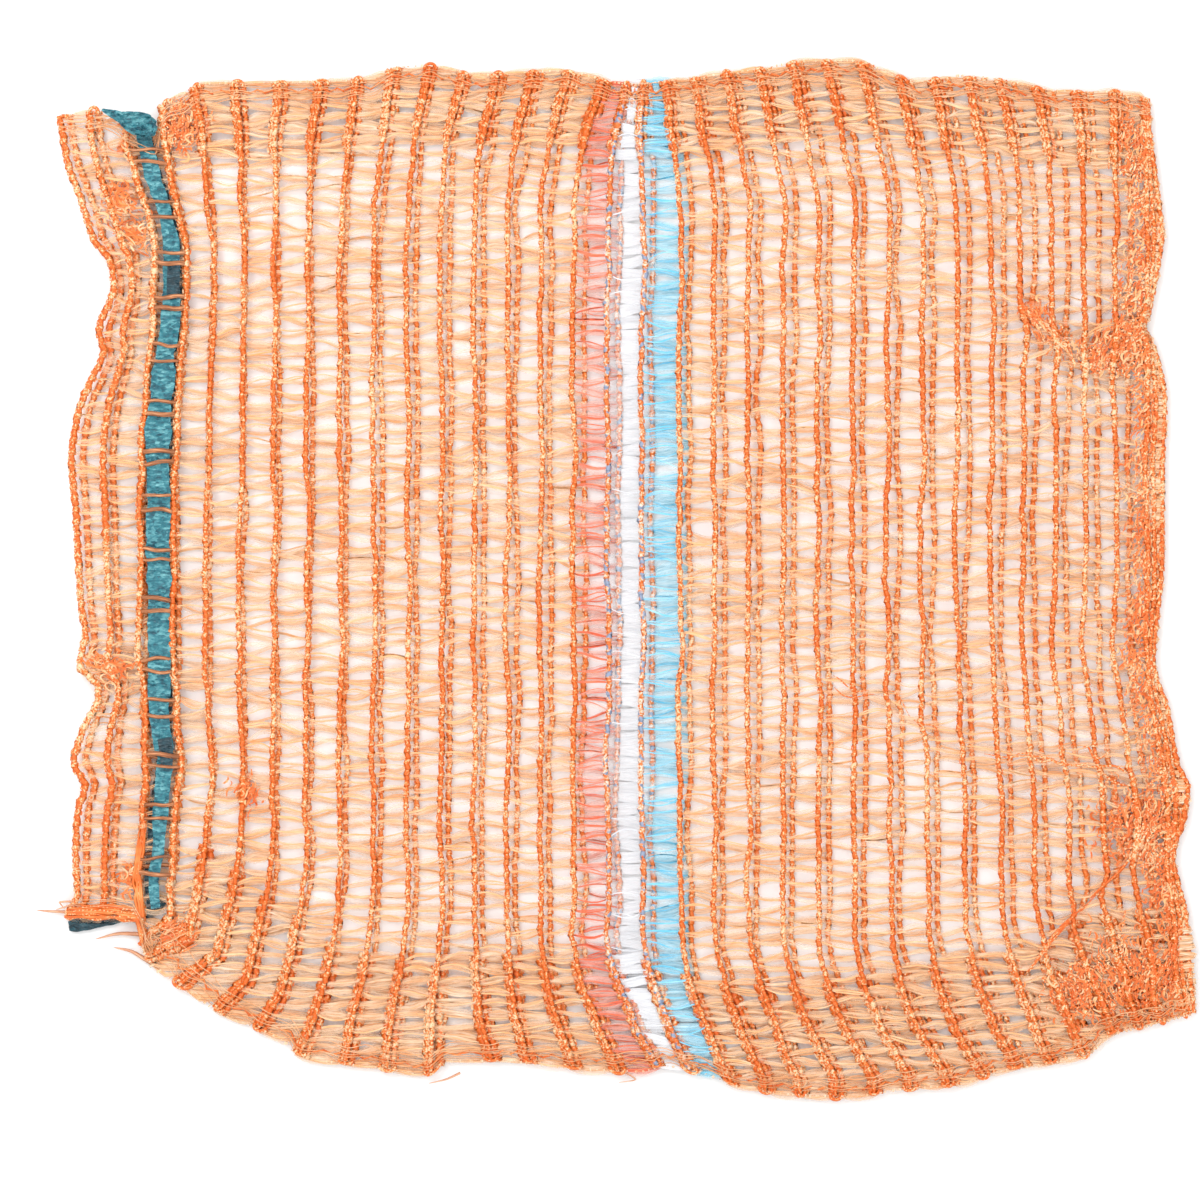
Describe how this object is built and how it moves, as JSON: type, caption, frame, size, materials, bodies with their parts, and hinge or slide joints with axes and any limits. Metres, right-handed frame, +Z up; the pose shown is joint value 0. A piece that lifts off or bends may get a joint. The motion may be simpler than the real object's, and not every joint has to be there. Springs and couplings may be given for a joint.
{
  "type": "hay net",
  "caption": "Small flat knitted net bag for hay, with coloured stripes, sewn sides and two draw tapes that close its mouth.",
  "frame": {"origin": "middle of the underside of the bounding box, on the surface that the bag lies on", "axes": "+X from the mouth to the bottom fold, +Y towards the right side seam, +Z up out of the front layer"},
  "size_m": [0.2822, 0.2514, 0.0122],
  "materials": {
    "orange_tape_yarn": "thin translucent flat polyethylene tape",
    "orange_chain_yarn": "knitted polyethylene tape, soft sheen",
    "red_tape_yarn": "flat polyethylene tape, soft sheen",
    "white_tape_yarn": "flat polyethylene tape, soft sheen",
    "blue_tape_yarn": "flat polyethylene tape, soft sheen",
    "brown_yarn": "flat polyethylene tape, soft sheen",
    "seam_thread": "sewing yarn",
    "teal_tape": "crinkled polyethylene film, satin"
  },
  "bodies": {
    "net_bag": {"bottom_fold": "orange_tape_yarn", "front_blue_stripe_weft": "blue_tape_yarn", "front_bottom_side_chains": "orange_chain_yarn", "front_bottom_side_orange_weft": "orange_tape_yarn", "front_channel_chains": "orange_chain_yarn", "front_channel_weft": "orange_tape_yarn", "front_mouth_side_chains": "orange_chain_yarn", "front_mouth_side_orange_weft": "orange_tape_yarn", "front_red_stripe_weft": "red_tape_yarn", "front_rim_chains": "orange_chain_yarn", "front_rim_weft": "orange_tape_yarn", "front_stripe_chains": "orange_chain_yarn", "front_tape_bridges": "brown_yarn", "front_white_stripe_weft": "white_tape_yarn", "left_seam_allowance": "orange_tape_yarn", "left_seam_thread": "seam_thread", "left_side_seam": "orange_tape_yarn", "loose_yarn_ends": "brown_yarn", "rear_blue_stripe_weft": "blue_tape_yarn", "rear_bottom_side_chains": "orange_chain_yarn", "rear_bottom_side_orange_weft": "orange_tape_yarn", "rear_channel_chains": "orange_chain_yarn", "rear_channel_weft": "orange_tape_yarn", "rear_mouth_side_chains": "orange_chain_yarn", "rear_mouth_side_orange_weft": "orange_tape_yarn", "rear_red_stripe_weft": "red_tape_yarn", "rear_rim_chains": "orange_chain_yarn", "rear_rim_weft": "orange_tape_yarn", "rear_stripe_chains": "orange_chain_yarn", "rear_tape_bridges": "brown_yarn", "rear_white_stripe_weft": "white_tape_yarn", "right_seam_allowance": "orange_tape_yarn", "right_seam_thread": "seam_thread", "right_side_seam": "orange_tape_yarn"},
    "front_draw_tape": {"front_draw_tape": "teal_tape"},
    "rear_draw_tape": {"rear_draw_tape": "teal_tape"}
  },
  "joints": [
    {"name": "front_tape_draw", "type": "slide", "parent": "net_bag", "child": "front_draw_tape", "axis": [0, 1, 0], "range_m": [0, 0.04]},
    {"name": "rear_tape_draw", "type": "slide", "parent": "net_bag", "child": "rear_draw_tape", "axis": [0, -1, 0], "range_m": [0, 0.04]}
  ],
  "couplings": [
    {"joint": "rear_tape_draw", "follows": "front_tape_draw", "ratio": 1}
  ]
}
